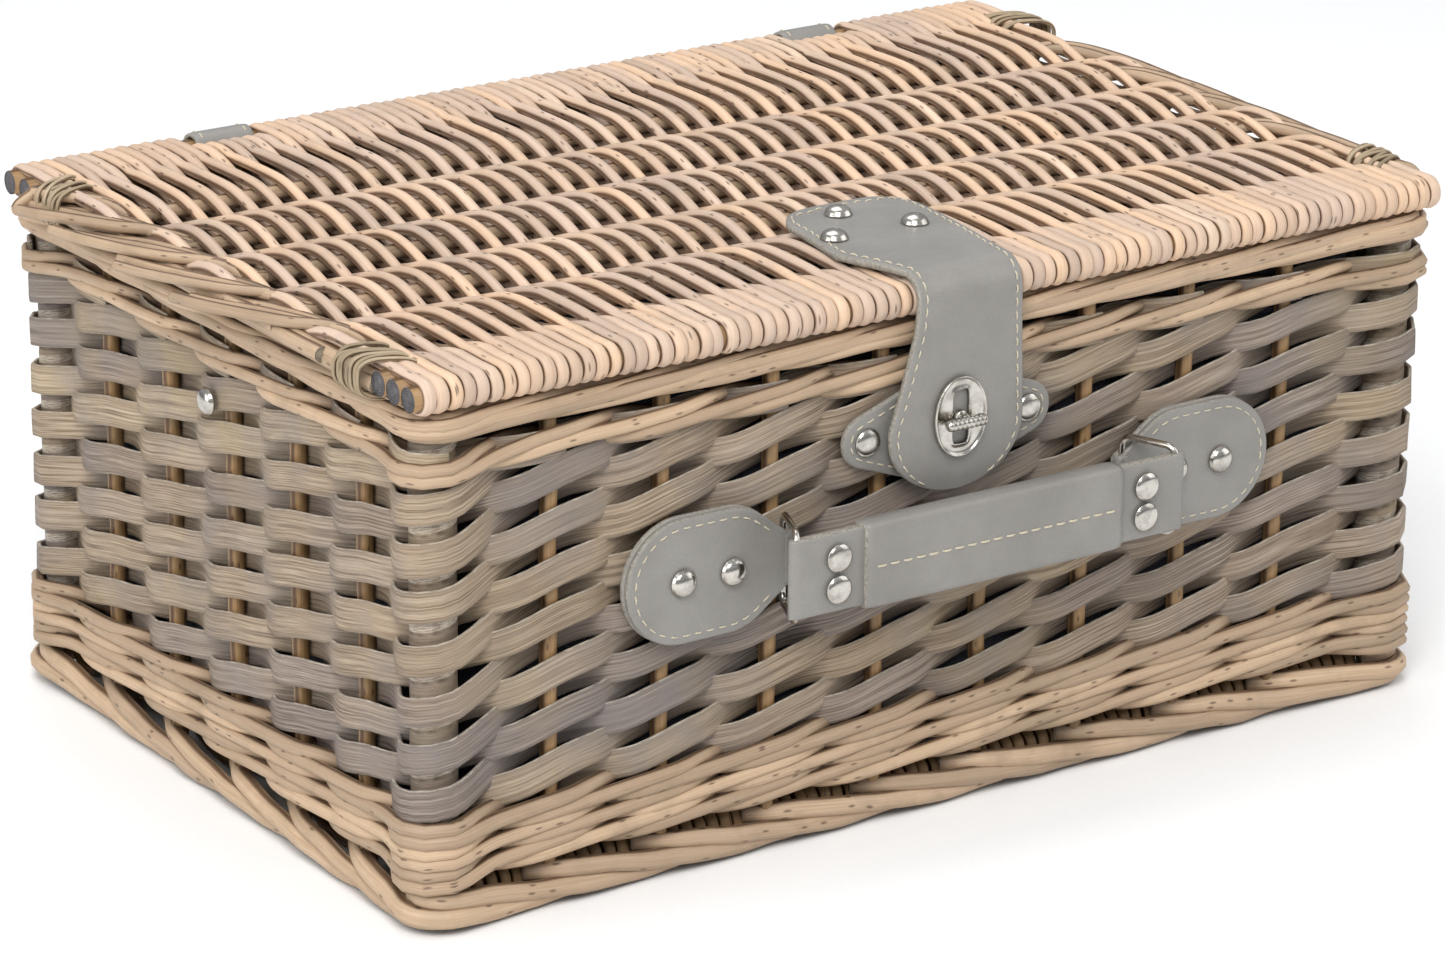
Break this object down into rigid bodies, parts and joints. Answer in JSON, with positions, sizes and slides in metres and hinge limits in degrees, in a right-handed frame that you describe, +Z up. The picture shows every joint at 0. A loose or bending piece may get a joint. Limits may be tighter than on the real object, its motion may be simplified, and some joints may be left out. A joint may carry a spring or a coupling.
{
  "type": "wicker picnic hamper",
  "caption": "Rectangular woven willow picnic hamper with a hinged woven lid, a leather flap with a turn lock, a leather carrying handle and a cloth lining.",
  "frame": {"origin": "middle of the underside of the woven base, level with the foot border", "axes": "+Z up, +X along the length to the right as seen from the front, -Y towards the front with the lock and the handle"},
  "size_m": [0.443, 0.3141, 0.2038],
  "materials": {
    "pale_willow": "peeled willow rods, dry matt",
    "tan_willow": "steamed willow rods, dull satin",
    "split_willow": "grey-washed split willow, matt",
    "dark_willow": "grey-brown willow, matt",
    "leather": "smooth grey leather, soft sheen",
    "nickel": "nickel plate",
    "lining_cloth": "dark plain cloth"
  },
  "bodies": {
    "basket": {"base_panel": "pale_willow", "foot_border": "tan_willow", "lower_wale": "tan_willow", "strip_weave": "split_willow", "upper_wale": "tan_willow", "rim_border": "tan_willow", "corner_post_front_left": "dark_willow", "corner_post_front_right": "dark_willow", "corner_post_back_left": "dark_willow", "corner_post_back_right": "dark_willow", "cloth_lining": "lining_cloth", "hinge_loop_left": "leather", "hinge_loop_right": "leather", "stay_rivet": "nickel", "lock_backing": "leather", "lock_backing_rivet_left": "nickel", "lock_backing_rivet_right": "nickel", "lock_base": "nickel", "handle_tab_left": "leather", "handle_tab_rivet_left_inner": "nickel", "handle_tab_rivet_left_outer": "nickel", "handle_tab_right": "leather", "handle_tab_rivet_right_inner": "nickel", "handle_tab_rivet_right_outer": "nickel"},
    "lid": {"lid_weave": "pale_willow", "lid_front_rod_outer": "tan_willow", "lid_front_rod_middle": "tan_willow", "lid_front_rod_inner": "tan_willow", "lid_back_rod_outer": "tan_willow", "lid_back_rod_middle": "tan_willow", "lid_back_rod_inner": "tan_willow", "lid_stake_1": "tan_willow", "lid_stake_2": "tan_willow", "lid_stake_3": "tan_willow", "lid_stake_4": "tan_willow", "lid_stake_5": "tan_willow", "lid_end_border_left": "tan_willow", "lid_end_border_right": "tan_willow", "corner_binding_front_left": "dark_willow", "corner_binding_front_right": "dark_willow", "corner_binding_back_left": "dark_willow", "corner_binding_back_right": "dark_willow", "flap_head": "leather", "flap_rivet_back": "nickel", "flap_rivet_left": "nickel", "flap_rivet_right": "nickel"},
    "flap": {"flap_strap": "leather", "lock_plate": "nickel"},
    "knob": {"turn_knob": "nickel"},
    "ring_left": {"handle_ring_left": "nickel"},
    "ring_right": {"handle_ring_right": "nickel"},
    "handle": {"handle_strap": "leather", "handle_grip": "leather", "handle_rivet_left_upper": "nickel", "handle_rivet_left_lower": "nickel", "handle_rivet_right_upper": "nickel", "handle_rivet_right_lower": "nickel"}
  },
  "joints": [
    {"name": "lid_hinge", "type": "hinge", "parent": "basket", "child": "lid", "pos_m": [0, 0.1387, 0.19], "axis": [-1, 0, 0], "range_deg": [0, 105]},
    {"name": "flap_swing", "type": "hinge", "parent": "lid", "child": "flap", "pos_m": [-0.004, -0.149, 0.19], "axis": [-1, 0, 0], "range_deg": [0, 150]},
    {"name": "knob_turn", "type": "hinge", "parent": "basket", "child": "knob", "pos_m": [-0.004, -0.15415, 0.147], "axis": [0, 1, 0], "range_deg": [0, 90]},
    {"name": "ring_left_swing", "type": "hinge", "parent": "basket", "child": "ring_left", "pos_m": [-0.072, -0.1433, 0.1086], "axis": [0, 0, 1], "range_deg": [-15, 15]},
    {"name": "handle_on_ring", "type": "hinge", "parent": "ring_left", "child": "handle", "pos_m": [-0.08005, -0.1635, 0.1086], "axis": [0, 0, 1], "range_deg": [-13.5, 13.5]},
    {"name": "ring_right_swing", "type": "hinge", "parent": "basket", "child": "ring_right", "pos_m": [0.072, -0.1433, 0.1086], "axis": [0, 0, 1], "range_deg": [-15, 15]}
  ],
  "couplings": [
    {"joint": "handle_on_ring", "follows": "ring_left_swing", "ratio": -0.9},
    {"joint": "ring_right_swing", "follows": "ring_left_swing", "ratio": 1}
  ]
}
